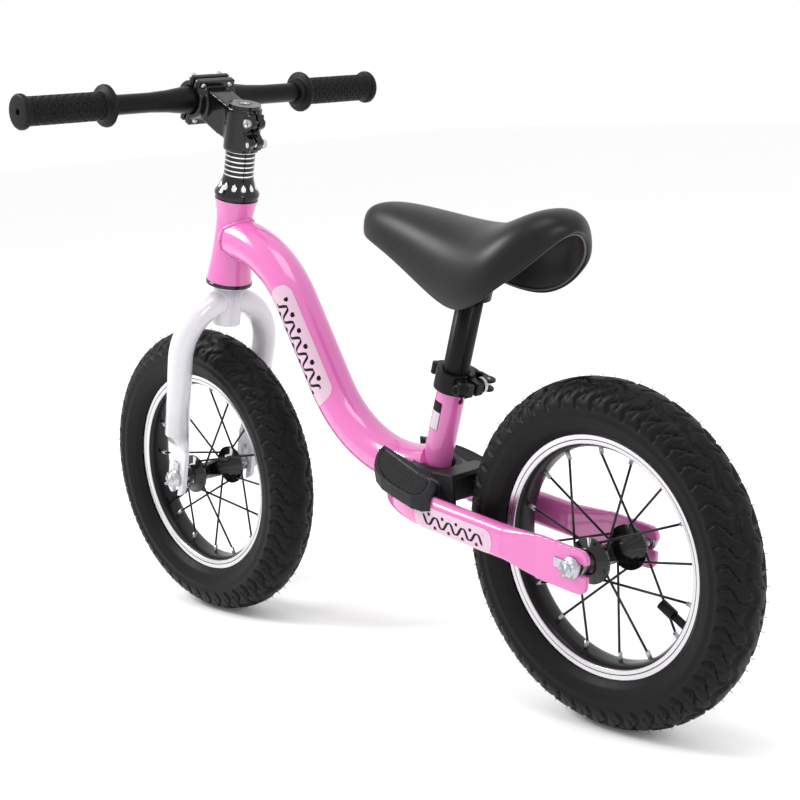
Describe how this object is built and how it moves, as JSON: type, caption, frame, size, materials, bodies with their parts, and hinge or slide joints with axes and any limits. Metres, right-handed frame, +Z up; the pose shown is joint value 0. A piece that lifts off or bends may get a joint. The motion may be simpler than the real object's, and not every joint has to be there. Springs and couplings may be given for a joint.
{
  "type": "child's balance bike",
  "caption": "Pedal-free child's balance bike with a curved single-tube frame, white fork, spoked air-tyre wheels, quick-release saddle and a moulded footrest over the rear stays.",
  "frame": {"origin": "on the ground, midway between the two tyres' contact points in the bike's middle plane", "axes": "+X forwards, +Y to the rider's left, +Z up"},
  "size_m": [0.8539, 0.438, 0.5684],
  "materials": {
    "pink_gloss_paint": "glossy candy pink paint over steel tube",
    "white_gloss_paint": "glossy white paint over steel tube",
    "black_gloss_paint": "glossy black paint on alloy and steel",
    "black_satin_paint": "satin black paint on steel tube and alloy",
    "black_plastic": "satin moulded black plastic",
    "saddle_skin": "soft matte moulded foam skin",
    "grip_rubber": "matte moulded rubber",
    "tyre_rubber": "matte black tyre rubber",
    "polished_rim": "machined sidewalls with a black anodised inner face",
    "spoke_black": "black coated steel wire",
    "zinc_steel": "bright zinc plated steel"
  },
  "bodies": {
    "frame": {"head_tube": "pink_gloss_paint", "main_tube": "pink_gloss_paint", "seat_tube": "pink_gloss_paint", "stay_left": "pink_gloss_paint", "stay_right": "pink_gloss_paint", "headset_cups": "black_gloss_paint", "headset_bearings": "zinc_steel", "footrest": "black_plastic", "footrest_screws": "zinc_steel", "seat_collar": "black_satin_paint", "clamp_skewer": "zinc_steel", "clamp_nut": "black_plastic", "clamp_washer": "zinc_steel", "rear_axle": "zinc_steel", "rear_cones": "zinc_steel", "rear_axle_nuts": "zinc_steel", "rear_tab_washers": "zinc_steel"},
    "clamp_lever": {"clamp_lever": "black_satin_paint"},
    "seat": {"saddle_cover": "saddle_skin", "saddle_base": "black_plastic", "saddle_screws": "zinc_steel", "seat_post": "black_satin_paint"},
    "fork": {"steerer_tube": "white_gloss_paint", "fork_leg_left": "white_gloss_paint", "fork_leg_right": "white_gloss_paint", "crown_race": "zinc_steel", "headset_cone": "black_gloss_paint", "headset_spacers": "black_gloss_paint", "spacer_rings": "zinc_steel", "stem_body": "black_gloss_paint", "stem_faceplate": "black_gloss_paint", "faceplate_bolts": "zinc_steel", "stem_clamp_bolts": "zinc_steel", "stem_cap": "black_gloss_paint", "stem_cap_bolt": "zinc_steel", "star_nut": "zinc_steel", "handlebar": "black_satin_paint", "grip_left": "grip_rubber", "grip_right": "grip_rubber", "front_axle": "zinc_steel", "front_cones": "zinc_steel", "front_axle_nuts": "zinc_steel", "front_tab_washers": "zinc_steel"},
    "front_wheel": {"front_hub": "black_gloss_paint", "front_bearings": "zinc_steel", "front_rim": "polished_rim", "front_spokes": "spoke_black", "front_nipples": "zinc_steel", "front_tyre": "tyre_rubber", "front_tube": "grip_rubber", "front_valve_cap": "grip_rubber"},
    "rear_wheel": {"rear_hub": "black_gloss_paint", "rear_bearings": "zinc_steel", "rear_rim": "polished_rim", "rear_spokes": "spoke_black", "rear_nipples": "zinc_steel", "rear_tyre": "tyre_rubber", "rear_tube": "grip_rubber", "rear_valve_cap": "grip_rubber"}
  },
  "joints": [
    {"name": "steering", "type": "hinge", "parent": "frame", "child": "fork", "pos_m": [0.275, 0, 0.152], "axis": [-0.2588, 0, 0.9659], "continuous": true},
    {"name": "front_wheel_spin", "type": "hinge", "parent": "fork", "child": "front_wheel", "pos_m": [0.275, 0, 0.152], "axis": [0, 1, 0], "continuous": true},
    {"name": "rear_wheel_spin", "type": "hinge", "parent": "frame", "child": "rear_wheel", "pos_m": [-0.275, 0, 0.152], "axis": [0, 1, 0], "continuous": true},
    {"name": "seat_height", "type": "slide", "parent": "frame", "child": "seat", "axis": [-0.3305, 0, 0.9438], "range_m": [-0.045, 0.02]},
    {"name": "clamp_lever_swing", "type": "hinge", "parent": "frame", "child": "clamp_lever", "pos_m": [-0.12085, -0.0215, 0.27944], "axis": [-0.3305, 0, 0.9438], "range_deg": [-110, 0]}
  ]
}
